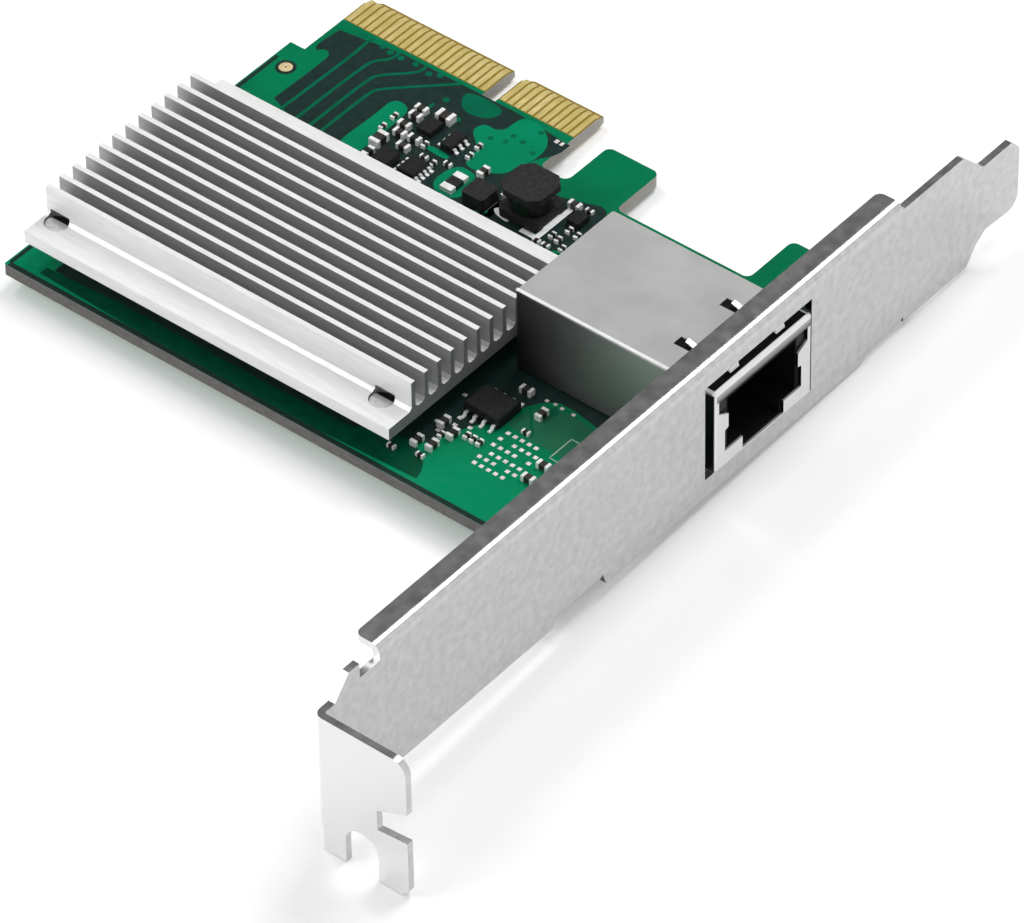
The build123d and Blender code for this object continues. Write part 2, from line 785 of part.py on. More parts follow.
with BuildPart() as inductor_winding:
    with BuildSketch(Plane.XY.offset(coil_terminal + coil_foot)):
        with Locations((coil_x, coil_y)):
            Circle(coil_wire_radius)
            Circle(coil_post_radius, mode=Mode.SUBTRACT)
    extrude(amount=coil_height - coil_top - coil_terminal - coil_foot)
save(inductor_winding.part, "inductor_winding")

with BuildPart() as inductor_terminals:
    for x in (coil_x - coil_side / 2, coil_x + coil_side / 2 - coil_terminal_width):
        block((x, x + coil_terminal_width), (coil_y - coil_side / 4, coil_y + coil_side / 4),
              (0, coil_terminal))
save(inductor_terminals.part, "inductor_terminals")

# Shielded choke
with BuildPart() as choke_body:
    with at([(choke_x, choke_y)], choke_terminal):
        Box(choke_side, choke_side, choke_height - choke_terminal, align=upright)
    fillet(choke_body.edges().filter_by(Axis.Z), choke_edge)
save(choke_body.part, "choke_body")

with BuildPart() as choke_terminals:
    for x in (choke_x - choke_side / 2, choke_x + choke_side / 2 - choke_terminal_width):
        block((x, x + choke_terminal_width), (choke_y - choke_side / 3, choke_y + choke_side / 3),
              (0, choke_terminal))
save(choke_terminals.part, "choke_terminals")

# Small chips with leads bent down to the board
with BuildPart() as chip_bodies:
    for (x, y, across, along, height, pitch, reach), turn in zip(small_chips, small_chip_angles):
        with Locations(Location((x, y, body_lift), (0, 0, turn))):
            Box(across, along, height - body_lift, align=upright)
        chamfer(chip_bodies.edges(Select.LAST).group_by(Axis.Z)[-1], body_edge)
save(chip_bodies.part, "chip_bodies")

with BuildPart() as chip_leads:
    for chip, turn, count in zip(small_chips, small_chip_angles, small_chip_lead_counts):
        x, y, across, along, height, pitch, reach = chip
        for side in (0, 180):
            out = Vector(1, 0, 0).rotate(Axis.Z, turn + side)
            row = out.cross(Vector(0, 0, 1))
            for i in range(count):
                start = Vector(x, y, 0) + out * (across / 2) + row * ((i - (count - 1) / 2) * pitch)
                with BuildSketch(Plane(start, x_dir=out, z_dir=row)):
                    with BuildLine():
                        Polyline(
                            (0, lead_level),
                            (0.35 * reach, lead_level),
                            (0.55 * reach, lead_thickness),
                            (reach, lead_thickness),
                            (reach, 0),
                            (0.4 * reach, 0),
                            (0.2 * reach, lead_level - lead_thickness),
                            (0, lead_level - lead_thickness),
                            close=True,
                        )
                    make_face()
                extrude(amount=lead_width / 2, both=True)
save(chip_leads.part, "chip_leads")

# Flat chips on their soldered pads
with BuildPart() as flat_chip_bodies:
    for x, y, length, width, height in flat_chips:
        with at([(x, y)], flat_pad):
            Box(length, width, height - flat_pad, align=upright)
save(flat_chip_bodies.part, "flat_chip_bodies")

with BuildPart() as flat_chip_pads:
    for x, y, length, width, height in flat_chips:
        with at([(x, y)], 0):
            Box(length - flat_pad_inset, width - flat_pad_inset, flat_pad, align=upright)
save(flat_chip_pads.part, "flat_chip_pads")

# Timing crystal: ceramic tray with a welded lid
with BuildPart() as crystal_tray:
    with at([(crystal_x, crystal_y)], 0):
        Box(crystal_width, crystal_length, crystal_base, align=upright)
save(crystal_tray.part, "crystal_tray")

with BuildPart() as crystal_cover:
    with at([(crystal_x, crystal_y)], crystal_base):
        Box(crystal_width - 2 * crystal_rim, crystal_length - 2 * crystal_rim, crystal_lid,
            align=upright)
    fillet(crystal_cover.edges().filter_by(Axis.Z), crystal_rim)
save(crystal_cover.part, "crystal_cover")


def chip_places(groups):
    """The size, place and turn of each part in a set of two-ended chip parts."""
    return [(size, x, y, turn) for size, lengthwise, crosswise in groups
            for turn, places in ((0, lengthwise), (quarter_turn_angle, crosswise))
            for x, y in places]


def chip_middles(groups):
    """The bodies of a set of two-ended chip parts."""
    for (length, width, height), x, y, turn in chip_places(groups):
        with Locations(Location((x, y, 0), (0, 0, turn))):
            Box(length * (1 - 2 * end_share), width, height, align=upright)


def chip_ends(groups):
    """Their plated ends, a little larger than the bodies."""
    for (length, width, height), x, y, turn in chip_places(groups):
        end = length * end_share
        for side in (0, 180):
            with Locations(Location((x, y, 0), (0, 0, turn + side))
                           * Location(((length - end) / 2, 0, 0))):
                Box(end, width + 2 * end_plating, height + end_plating, align=upright)


# Chip capacitors, chip resistors and the wide sense resistor
with BuildPart() as capacitor_bodies:
    chip_middles(capacitors)
save(capacitor_bodies.part, "capacitor_bodies")

with BuildPart() as capacitor_ends:
    chip_ends(capacitors)
save(capacitor_ends.part, "capacitor_ends")

with BuildPart() as resistor_bodies:
    chip_middles(resistors)
    block((sense_x - sense_width / 2, sense_x + sense_width / 2),
          (sense_y - sense_length / 2 + sense_end, sense_y + sense_length / 2 - sense_end),
          (0, sense_height))
save(resistor_bodies.part, "resistor_bodies")

with BuildPart() as resistor_ends:
    chip_ends(resistors)
    for y in (sense_y - sense_length / 2, sense_y + sense_length / 2 - sense_end):
        block((sense_x - sense_width / 2, sense_x + sense_width / 2), (y, y + sense_end),
              (0, sense_height + end_plating))
save(resistor_ends.part, "resistor_ends")
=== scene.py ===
import math

import bmesh
import bpy
from mathutils import Matrix, Vector


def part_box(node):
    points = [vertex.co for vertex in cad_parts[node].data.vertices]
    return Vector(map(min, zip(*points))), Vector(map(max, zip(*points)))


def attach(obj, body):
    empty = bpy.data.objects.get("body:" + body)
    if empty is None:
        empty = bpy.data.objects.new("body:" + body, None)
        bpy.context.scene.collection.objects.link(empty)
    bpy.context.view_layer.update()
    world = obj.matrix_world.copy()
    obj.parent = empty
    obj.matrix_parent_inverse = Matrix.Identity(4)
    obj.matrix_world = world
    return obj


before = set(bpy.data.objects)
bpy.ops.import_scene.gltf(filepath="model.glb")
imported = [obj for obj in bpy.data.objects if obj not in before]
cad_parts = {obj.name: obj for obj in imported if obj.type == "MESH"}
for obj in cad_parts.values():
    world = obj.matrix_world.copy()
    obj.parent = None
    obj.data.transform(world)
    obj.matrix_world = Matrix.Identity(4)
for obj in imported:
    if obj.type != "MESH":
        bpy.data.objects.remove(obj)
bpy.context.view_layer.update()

# Circuit board: glass laminate pressed with copper, under green solder mask. The routed edges
# show the bare glass, and the mask is left open round the edge contacts.
MM = 0.001
MASK_DARK = (0.0, 0.145, 0.06)
MASK_LIGHT = (0.0, 0.185, 0.078)
MASK_PAINTED_LIGHT = (0.0, 0.235, 0.105)
MASK_NEAR = (-46.0, -56.0)
GLASS_EDGE = (0.17, 0.165, 0.16)
GLASS_PAINTED_LIT = (0.42, 0.4, 0.37)
GLASS_BARE = (0.26, 0.18, 0.03)
MASK_OPENING_Y = -5.3
MASK_OPENING_X = -46.0


def finish(name, color, metallic=0.0, roughness=0.5, specular=0.5):
    """A material with constant values set on the shader's own sockets."""
    mat = bpy.data.materials.new(name)
    mat.use_nodes = True
    shader = mat.node_tree.nodes["Principled BSDF"]
    shader.inputs["Base Color"].default_value = (*color, 1)
    shader.inputs["Metallic"].default_value = metallic
    shader.inputs["Roughness"].default_value = roughness
    shader.inputs["Specular IOR Level"].default_value = specular
    return mat


def spots(mat, size, detail=3.0, stretch=(1, 1, 1)):
    """Noise across the material, with features about one size long, in millimetres."""
    nodes, links = mat.node_tree.nodes, mat.node_tree.links
    place = nodes.new("ShaderNodeTexCoord")
    scale = nodes.new("ShaderNodeMapping")
    scale.inputs["Scale"].default_value = [1 / (MM * size * s) for s in stretch]
    noise = nodes.new("ShaderNodeTexNoise")
    noise.inputs["Scale"].default_value = 1.0
    noise.inputs["Detail"].default_value = detail
    links.new(place.outputs["Object"], scale.inputs["Vector"])
    links.new(scale.outputs["Vector"], noise.inputs["Vector"])
    return noise.outputs["Fac"]


def along(mat, axis, start, end):
    """A value that goes from 0 to 1 between two places on one axis, in millimetres."""
    nodes, links = mat.node_tree.nodes, mat.node_tree.links
    place = nodes.new("ShaderNodeTexCoord")
    split = nodes.new("ShaderNodeSeparateXYZ")
    span = nodes.new("ShaderNodeMapRange")
    span.inputs["From Min"].default_value = start * MM
    span.inputs["From Max"].default_value = end * MM
    links.new(place.outputs["Object"], split.inputs[0])
    links.new(split.outputs[axis], span.inputs["Value"])
    return span.outputs["Result"]


def facing(mat, axis, low=0.5, high=0.8):
    """A value that is 1 where the surface faces along an axis, either way, and 0 elsewhere."""
    nodes, links = mat.node_tree.nodes, mat.node_tree.links
    shape = nodes.new("ShaderNodeNewGeometry")
    split = nodes.new("ShaderNodeSeparateXYZ")
    size = nodes.new("ShaderNodeMath")
    size.operation = "ABSOLUTE"
    span = nodes.new("ShaderNodeMapRange")
    span.inputs["From Min"].default_value = low
    span.inputs["From Max"].default_value = high
    links.new(shape.outputs["True Normal"], split.inputs[0])
    links.new(split.outputs[axis], size.inputs[0])
    links.new(size.outputs[0], span.inputs["Value"])
    return span.outputs["Result"]


def both(mat, first, second):
    """The product of two values."""
    times = mat.node_tree.nodes.new("ShaderNodeMath")
    times.operation = "MULTIPLY"
    mat.node_tree.links.new(first, times.inputs[0])
    mat.node_tree.links.new(second, times.inputs[1])
    return times.outputs[0]


def either(mat, first, second):
    """The larger of two values."""
    pick = mat.node_tree.nodes.new("ShaderNodeMath")
    pick.operation = "MAXIMUM"
    mat.node_tree.links.new(first, pick.inputs[0])
    mat.node_tree.links.new(second, pick.inputs[1])
    return pick.outputs[0]


def shades(mat, value, stops):
    """Colours picked by a value, through stops of place and colour or grey level."""
    nodes, links = mat.node_tree.nodes, mat.node_tree.links
    band = nodes.new("ShaderNodeValToRGB")
    elements = band.color_ramp.elements
    while len(elements) < len(stops):
        elements.new(0.5)
    for element, (at, color) in zip(elements, stops):
        element.position = at
        element.color = (*color, 1) if isinstance(color, tuple) else (color, color, color, 1)
    links.new(value, band.inputs["Fac"])
    return band.outputs["Color"]


def over(mat, value, below, above):
    """One colour laid over another where the value is 1."""
    nodes, links = mat.node_tree.nodes, mat.node_tree.links
    mix = nodes.new("ShaderNodeMix")
    mix.data_type = "RGBA"
    links.new(value, mix.inputs["Factor"])
    for color, socket in ((below, mix.inputs[6]), (above, mix.inputs[7])):
        if isinstance(color, tuple):
            socket.default_value = (*color, 1)
        else:
            links.new(color, socket)
    return mix.outputs[2]


def drive(mat, socket, value):
    """Feeds a socket of the shader."""
    mat.node_tree.links.new(value, mat.node_tree.nodes["Principled BSDF"].inputs[socket])


def bumps(mat, value, depth):
    """Raises the surface by a value, to a depth in millimetres."""
    nodes, links = mat.node_tree.nodes, mat.node_tree.links
    bump = nodes.new("ShaderNodeBump")
    bump.inputs["Distance"].default_value = depth * MM
    links.new(value, bump.inputs["Height"])
    links.new(bump.outputs["Normal"], nodes["Principled BSDF"].inputs["Normal"])


def dress(mat, *names):
    """Gives CAD nodes their material."""
    for name in names:
        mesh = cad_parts[name].data
        mesh.materials.clear()
        mesh.materials.append(mat)


board_mask = finish("board_mask", MASK_LIGHT, roughness=0.3, specular=0.1)
cloud_and_light = shades(board_mask, spots(board_mask, 14.0, 2.0), ((0.35, MASK_DARK), (0.65, MASK_LIGHT)))
opening = both(board_mask, along(board_mask, "Y", MASK_OPENING_Y, MASK_OPENING_Y + 0.02),
               along(board_mask, "X", MASK_OPENING_X + 0.02, MASK_OPENING_X))
glass = shades(board_mask, spots(board_mask, 0.5, 4.0, (2, 2, 0.4)),
               ((0.3, (0.12, 0.11, 0.105)), (0.7, GLASS_EDGE)))
# Painted light: the mask is painted paler towards the board's near edge, over its cloudy tone.
cloud_and_light = over(board_mask, along(board_mask, "Y", MASK_NEAR[0], MASK_NEAR[1]), cloud_and_light, MASK_PAINTED_LIGHT)
faces = over(board_mask, opening, cloud_and_light, GLASS_BARE)
# Painted light and shade: routed edges facing along X are painted pale, those facing along Y dark.
edges = over(board_mask, facing(board_mask, "X"), glass, GLASS_PAINTED_LIT)
drive(board_mask, "Base Color", over(board_mask, facing(board_mask, "Z"), edges, faces))
drive(board_mask, "Roughness", shades(board_mask, spots(board_mask, 1.6), ((0.3, 0.24), (0.7, 0.36))))
bumps(board_mask, spots(board_mask, 0.6, 2.0), 0.004)
dress(board_mask, "pcb")

# Copper pattern under the mask: bare laminate looks almost black, copper looks bright green.
# Thin layers on the board's face, following the pours and traces that the photograph shows.
BARE_AND_SHADE = (0.009, 0.024, 0.021)
TRACE = (0.0, 0.105, 0.052)
POUR = (0.0, 0.225, 0.105)
PALE_POUR = (0.012, 0.12, 0.06)
PAINTED_SHADE_GREEN = (0.0, 0.05, 0.024)
BARE_LEVEL = 0.008
COPPER_LEVEL = 0.02
MARK_LEVEL = 0.03
TRACE_WIDTH = 0.42


def piece(name, mesh, mat):
    """Adds a mesh as a piece of the card."""
    mesh.materials.append(mat)
    thing = bpy.data.objects.new(name, mesh)
    bpy.context.scene.collection.objects.link(thing)
    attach(thing, "root")
    return thing


def layer(name, outlines, low, high, mat):
    """Flat shapes of one level, cut by their outlines in millimetres."""
    shape = bmesh.new()
    for outline in outlines:
        ring = [shape.verts.new((x * MM, y * MM, low * MM)) for x, y in outline]
        face = shape.faces.new(ring)
        raised = bmesh.ops.extrude_face_region(shape, geom=[face])["geom"]
        for vert in raised:
            if isinstance(vert, bmesh.types.BMVert):
                vert.co.z = high * MM
    bmesh.ops.recalc_face_normals(shape, faces=shape.faces)
    mesh = bpy.data.meshes.new(name)
    shape.to_mesh(mesh)
    shape.free()
    return piece(name, mesh, mat)


def softened(points, times=2, closed=True):
    """Cuts the corners of an outline or line, as many times as asked."""
    for _ in range(times):
        pairs = list(zip(points, points[1:] + points[:1])) if closed else list(zip(points, points[1:]))
        cut = [(a[0] + (b[0] - a[0]) * t, a[1] + (b[1] - a[1]) * t) for a, b in pairs for t in (0.25, 0.75)]
        points = cut if closed else [points[0]] + cut + [points[-1]]
    return points


def strip(points, width):
    """The outline of a line of even width."""
    sides = []
    for side in (1, -1):
        row = []
        for i, (x, y) in enumerate(points):
            before, after = points[max(i - 1, 0)], points[min(i + 1, len(points) - 1)]
            run = Vector((after[0] - before[0], after[1] - before[1])).normalized()
            row.append((x - side * run.y * width / 2, y + side * run.x * width / 2))
        sides.append(row)
    return sides[0] + sides[1][::-1]


def disc(x, y, radius, sides=16):
    """A round outline."""
    turns = [2 * math.pi * i / sides for i in range(sides)]
    return [(x + radius * math.cos(t), y + radius * math.sin(t)) for t in turns]


def block(x, y, width, length):
    """A rectangle's outline about its centre."""
    return [(x + i * width / 2, y + j * length / 2) for i, j in ((-1, -1), (1, -1), (1, 1), (-1, 1))]


# Dark laminate colour for the bare fields and rims, also used for the painted shade fields.
laminate_and_shade = finish("laminate_and_shade", BARE_AND_SHADE, roughness=0.35, specular=0.1)
drive(laminate_and_shade, "Base Color", shades(laminate_and_shade, spots(laminate_and_shade, 1.2, 5.0),
                                          ((0.3, BARE_AND_SHADE), (0.7, (0.015, 0.034, 0.03)))))
masked_trace = finish("masked_trace", TRACE, roughness=0.32, specular=0.1)
drive(masked_trace, "Base Color", shades(masked_trace, spots(masked_trace, 2.5),
                                         ((0.3, TRACE), (0.7, (0.0, 0.135, 0.068)))))
# Painted shade: a dark green for the mask along the near edge, in the heatsink's shade.
painted_shade_green = finish("painted_shade_green", PAINTED_SHADE_GREEN, roughness=0.35, specular=0.1)
drive(painted_shade_green, "Base Color", shades(painted_shade_green, spots(painted_shade_green, 1.5, 4.0),
                                      ((0.3, PAINTED_SHADE_GREEN), (0.7, (0.0, 0.075, 0.036)))))
masked_pour = finish("masked_pour", POUR, roughness=0.3, specular=0.1)
drive(masked_pour, "Base Color", shades(masked_pour, spots(masked_pour, 6.0),
                                        ((0.3, (0.0, 0.19, 0.085)), (0.7, POUR))))
pale_pour = finish("pale_pour", PALE_POUR, roughness=0.32, specular=0.1)
drive(pale_pour, "Base Color", shades(pale_pour, spots(pale_pour, 5.0),
                                      ((0.3, PALE_POUR), (0.7, (0.02, 0.15, 0.078)))))

dark_field = [
    (-78.3, -24.0), (-78.0, -12.0), (-78.4, -10.9), (-79.4, -10.8), (-80.0, -11.6), (-80.6, -10.6),
    (-80.0, -5.9), (-46.5, -5.9), (-46.6, -8.9), (-48.2, -11.0), (-48.2, -13.0), (-46.6, -14.6),
    (-45.8, -15.1), (-45.8, -24.0),
]
# Painted shade: a near-black field between the heatsink's end and the jack, where shade falls.
near_shade_field = [
    (-36.0, -57.2), (-30.7, -57.0), (-27.5, -55.2), (-26.2, -51.7), (-24.9, -49.0), (-23.2, -46.8),
    (-23.2, -44.6), (-21.6, -41.9), (-19.6, -40.7), (-13.0, -41.9), (-10.0, -38.0), (-10.0, -34.0),
    (-40.0, -34.0),
]
rim = [(-82.75, -61.05), (-4.0, -61.05)]
# Painted shade: a near-black band along and under the heatsink's near flange.
painted_shade_edge = [(-78.0, -58.8), (-36.6, -58.8), (-34.0, -58.0), (-34.0, -56.5), (-78.0, -56.5)]
# Painted shade: the strip of mask along the near edge, darkened under the heatsink.
near_edge_shade = [
    (-79.0, -60.7), (-24.5, -60.7), (-25.2, -58.2), (-27.2, -56.2), (-30.5, -55.6), (-33.5, -57.0),
    (-36.5, -58.4), (-79.0, -58.4),
]
sense_field = [
    (-47.5, -22.75), (-35.0, -22.75), (-35.0, -14.5), (-36.6, -12.4), (-39.0, -13.3), (-42.4, -14.4),
    (-43.4, -16.0), (-45.0, -17.8), (-47.3, -19.8),
]
# Painted shade: a dark disc by the far screw, behind the jack's opening.
screw_shade_field = disc(-9.2, -12.6, 1.5)
RIM_WIDTH = 0.66
SIDE_RIM_WIDTH = 0.5
side_rim = [(-82.75, -60.8), (-82.75, -15.0)]
layer("bare_and_shade_fields",
      [softened(dark_field, 1), softened(near_shade_field, 1), painted_shade_edge, softened(sense_field, 1), screw_shade_field,
       strip(rim, RIM_WIDTH), strip(side_rim, SIDE_RIM_WIDTH)],
      0, BARE_LEVEL, laminate_and_shade)

bus = [
    [(-76.4, -23.5), (-76.1, -9.2), (-76.3, -7.0), (-76.2, -5.8)],
    [(-73.95, -23.5), (-73.85, -9.9), (-73.3, -8.6), (-72.2, -7.6), (-72.1, -5.9)],
    [(-71.9, -23.5), (-71.95, -11.8), (-71.4, -10.4), (-68.6, -7.8), (-68.1, -6.8), (-68.2, -5.8)],
    [(-70.26, -23.5), (-70.3, -13.4), (-69.8, -12.3), (-63.4, -6.2), (-63.1, -5.8)],
    [(-63.3, -11.6), (-63.3, -10.5)],
]
vias = [
    (-77.3, -6.1), (-74.3, -6.3), (-73.0, -6.6), (-71.4, -6.6), (-69.4, -6.4), (-67.1, -6.8), (-65.9, -6.2),
    (-62.6, -9.1), (-59.4, -11.0),
]
layer("masked_traces",
      [strip(softened(line, 2, False), TRACE_WIDTH) for line in bus] + [disc(x, y, 0.42) for x, y in vias],
      0, COPPER_LEVEL, masked_trace)

key_land = [(-61.7, -6.2), (-61.3, -8.2), (-59.6, -9.6), (-56.4, -8.8), (-56.0, -6.2)]
pour_left = [(-67.7, -24.0), (-67.3, -15.3), (-67.5, -13.7), (-67.0, -12.6), (-65.6, -12.6),
             (-64.7, -13.4), (-64.6, -15.0), (-64.4, -24.0)]
pour_right = [
    (-56.9, -11.4), (-56.8, -10.1), (-56.0, -9.6), (-55.0, -9.8), (-54.0, -9.0), (-54.0, -7.7),
    (-53.8, -6.5), (-53.3, -5.9), (-50.9, -5.9), (-48.2, -8.2), (-48.1, -11.7), (-48.9, -12.8),
    (-49.0, -14.6), (-50.0, -15.7), (-52.6, -16.8), (-54.3, -16.1), (-54.2, -13.6), (-55.6, -12.5),
]
pour_oblong = [(-59.4, -17.1), (-59.1, -16.3), (-55.9, -16.4), (-55.9, -17.3)]
pour_sense = [(-54.9, -22.0), (-54.7, -17.2), (-52.0, -16.9), (-50.6, -18.4), (-50.5, -22.2)]
layer("masked_pours",
      [softened(outline) for outline in (pour_left, pour_right, pour_oblong, pour_sense)]
      + [disc(-47.0, -21.4, 0.45), disc(-47.6, -22.2, 0.4), disc(-46.3, -22.6, 0.4)],
      0, COPPER_LEVEL, masked_pour)
layer("near_edge_shade", [softened(near_edge_shade, 1)], 0, COPPER_LEVEL, painted_shade_green)
layer("key_land", [softened(key_land)], 0, COPPER_LEVEL, masked_trace)
crystal_side = [(-22.7, -47.3), (-22.3, -45.1), (-22.0, -43.8), (-19.7, -41.6), (-13.5, -42.3),
                (-12.8, -43.8), (-12.8, -47.8), (-19.5, -47.6)]
layer("pale_pour", [softened(crystal_side, 1)],
      0, COPPER_LEVEL, pale_pour)

via_spots = [
    (-52.6, -9.3), (-51.1, -9.5), (-50.5, -6.9), (-49.0, -10.3), (-54.4, -11.2), (-52.7, -10.6),
]
VIA_RADIUS = 0.36
near_traces = [strip([(-21.9, -44.0), (-19.1, -47.1)], 0.3), strip([(-20.4, -42.2), (-19.2, -42.9)], 0.9)]
layer("via_spots", [disc(x, y, VIA_RADIUS) for x, y in via_spots] + near_traces,
      COPPER_LEVEL, MARK_LEVEL, masked_trace)

# White marks printed on the board: epoxy ink, screened over the mask and baked. Only plain lines
# and boxes are drawn, with every name and number left off.
MARK_WIDTH = 0.72
mark_white = finish("mark_white", (0.8, 0.8, 0.8), roughness=0.55)
drive(mark_white, "Base Color", shades(mark_white, spots(mark_white, 0.5, 4.0),
                                       ((0.3, (0.88, 0.9, 0.89)), (0.7, (1.0, 1.0, 1.0)))))
marks = [
    strip([(-39.55, -14.9), (-39.55, -21.66)], MARK_WIDTH),
    strip([(-39.91, -21.3), (-41.8, -21.3)], MARK_WIDTH),
    softened([(-46.5, -20.3), (-45.7, -19.6), (-44.0, -20.3),
              (-43.6, -21.3), (-44.8, -21.2), (-45.9, -20.9)], 1),
]
layer("printed_lines", marks, COPPER_LEVEL, MARK_LEVEL, mark_white)
faint_white = finish("faint_white", (0.3, 0.42, 0.35), roughness=0.5)
drive(faint_white, "Base Color", shades(faint_white, spots(faint_white, 0.4, 4.0),
                                        ((0.3, (0.16, 0.32, 0.23)), (0.7, (0.4, 0.52, 0.45)))))
frame_box = [(-15.5, -48.6), (-14.0, -48.6), (-14.0, -44.8), (-15.5, -44.8), (-15.5, -48.6)]
layer("printed_boxes", [strip([a, b], 0.16) for a, b in zip(frame_box, frame_box[1:])],
      COPPER_LEVEL, MARK_LEVEL, faint_white)

# Empty solder lands: flat copper pads in gaps of the mask, tinned against tarnish. They are for
# parts that this card is built without.
PAD_LEVEL = 0.035
tinned_pad = finish("tinned_pad", (0.62, 0.55, 0.53), metallic=0.35, roughness=0.45)
drive(tinned_pad, "Base Color", shades(tinned_pad, spots(tinned_pad, 0.6, 4.0),
                                       ((0.3, (0.6, 0.55, 0.53)), (0.7, (0.95, 0.9, 0.88)))))
pads = []
for row, (y, first, count) in enumerate(((-48.3, -21.5, 6), (-49.5, -21.6, 6), (-50.7, -21.6, 6),
                                         (-52.0, -21.8, 6), (-53.1, -21.6, 6), (-54.2, -21.4, 5))):
    for i in range(count):
        if (row + 2 * i) % 7 != 3:
            pads.append(block(first + 0.98 * i, y, 0.52, 0.5))
pads += [block(-48.15, -7.0, 0.5, 0.6), block(-47.4, -7.0, 0.4, 0.6)]
pads += [block(x, y, 0.45, 0.4) for x, y in ((-21.5, -41.6), (-20.4, -41.5), (-19.4, -41.6), (-17.8, -41.6))]
pads += [block(x, y, 0.55, 0.45) for x, y in (
    (-28.84, -51.56), (-28.07, -50.95), (-27.83, -52.61), (-28.35, -54.87), (-26.9, -50.84), (-29.14, -46.41),
    (-28.1, -44.75), (-26.76, -55.26), (-27.19, -49.63), (-25.31, -50.2), (-26.48, -47.41), (-26.28, -45.6))]
layer("empty_lands", pads, COPPER_LEVEL, PAD_LEVEL, tinned_pad)

# Edge contacts: copper strips etched on both faces of the board and plated with hard gold. The
# spring wires in the jack are bent from gilded wire and held by its housing.
gold = finish("gold", (0.95, 0.72, 0.27), metallic=0.55, roughness=0.36)
drive(gold, "Base Color", shades(gold, spots(gold, 1.4, 3.0, (1, 4, 1)),
                                 ((0.3, (0.72, 0.56, 0.17)), (0.7, (0.88, 0.74, 0.33)))))
drive(gold, "Roughness", shades(gold, spots(gold, 0.4, 3.0, (0.4, 4, 1)), ((0.3, 0.28), (0.7, 0.44))))
dress(gold, "edge_contacts_top", "edge_contacts_bottom")
spring_gold = finish("spring_gold", (0.95, 0.7, 0.25), metallic=1.0, roughness=0.25)
drive(spring_gold, "Roughness", shades(spring_gold, spots(spring_gold, 0.5), ((0.3, 0.18), (0.7, 0.34))))
dress(spring_gold, "jack_wires")

# Plated hole in the board's far corner: drilled and plated through, with a gilded ring on the
# component side that lies in a gap in the mask, and a dark gap round it.
ring_gold = finish("ring_gold", (0.95, 0.78, 0.45), metallic=0.6, roughness=0.35)
drive(ring_gold, "Roughness", shades(ring_gold, spots(ring_gold, 0.5), ((0.3, 0.28), (0.7, 0.44))))
RING_PLACE = (-80.7, -16.0)


def turned(name, places, profile, mat, closed=True, sides=24):
    """Round shapes about their centres, from a profile of radius and level in millimetres."""
    shape = bmesh.new()
    for x, y in places:
        rows = []
        for radius, level in profile:
            rows.append([shape.verts.new(((x + radius * math.cos(2 * math.pi * i / sides)) * MM,
                                          (y + radius * math.sin(2 * math.pi * i / sides)) * MM, level * MM))
                         for i in range(sides)])
        pairs = list(zip(rows, rows[1:]))
        if closed:
            pairs.append((rows[-1], rows[0]))
        else:
            shape.faces.new(rows[0])
            shape.faces.new(rows[-1])
        for row, following in pairs:
            for i in range(sides):
                j = (i + 1) % sides
                shape.faces.new((row[i], row[j], following[j], following[i]))
    bmesh.ops.recalc_face_normals(shape, faces=shape.faces)
    mesh = bpy.data.meshes.new(name)
    shape.to_mesh(mesh)
    shape.free()
    return piece(name, mesh, mat)


for name, inner, outer, level, mat in (("corner_ring", 0.12, 0.82, PAD_LEVEL, ring_gold),
                                       ("corner_ring_dark", 0.82, 1.25, COPPER_LEVEL, laminate_and_shade)):
    turned(name, [RING_PLACE], ((inner, 0), (outer, 0), (outer, level), (inner, level)), mat)

# Slot bracket: steel sheet, punched, folded and zinc-plated, with a fine grain from rolling. Two
# plated screws hold its ears under the board. Its sides that face along Y are painted near black
# as painted shade, and those of the tab are painted pale as painted light.
ZINC_DARK = (0.5, 0.5, 0.5)
ZINC_LIGHT = (0.58, 0.58, 0.58)
ZINC_PAINTED_LIGHT = (0.88, 0.88, 0.88)
ZINC_PAINTED_SHADE = (0.05, 0.05, 0.05)
TAB_SIDE = (-88.0, -92.0)
zinc = finish("zinc", ZINC_LIGHT, metallic=1.0, roughness=0.34)
zinc_skin = shades(zinc, spots(zinc, 1.1, 5.0), ((0.35, ZINC_DARK), (0.65, ZINC_LIGHT)))
tab_side = along(zinc, "Y", *TAB_SIDE)
# Painted shade on the sides facing along Y, and painted light on those of the tab.
zinc_lit_and_shaded_sides = over(zinc, tab_side, ZINC_PAINTED_SHADE, ZINC_PAINTED_LIGHT)
drive(zinc, "Base Color", over(zinc, facing(zinc, "Y"), zinc_skin, zinc_lit_and_shaded_sides))
drive(zinc, "Metallic", over(zinc, both(zinc, facing(zinc, "Y"), tab_side), (1, 1, 1), (0.5, 0.5, 0.5)))
drive(zinc, "Roughness", shades(zinc, spots(zinc, 1.8, 5.0), ((0.3, 0.2), (0.7, 0.27))))
bumps(zinc, spots(zinc, 0.6, 3.0), 0.0025)
dress(zinc, "bracket")
screw_zinc = finish("screw_zinc", (0.6, 0.6, 0.6), metallic=1.0, roughness=0.35)
drive(screw_zinc, "Roughness", shades(screw_zinc, spots(screw_zinc, 0.8), ((0.3, 0.25), (0.7, 0.45))))
dress(screw_zinc, "bracket_screws")

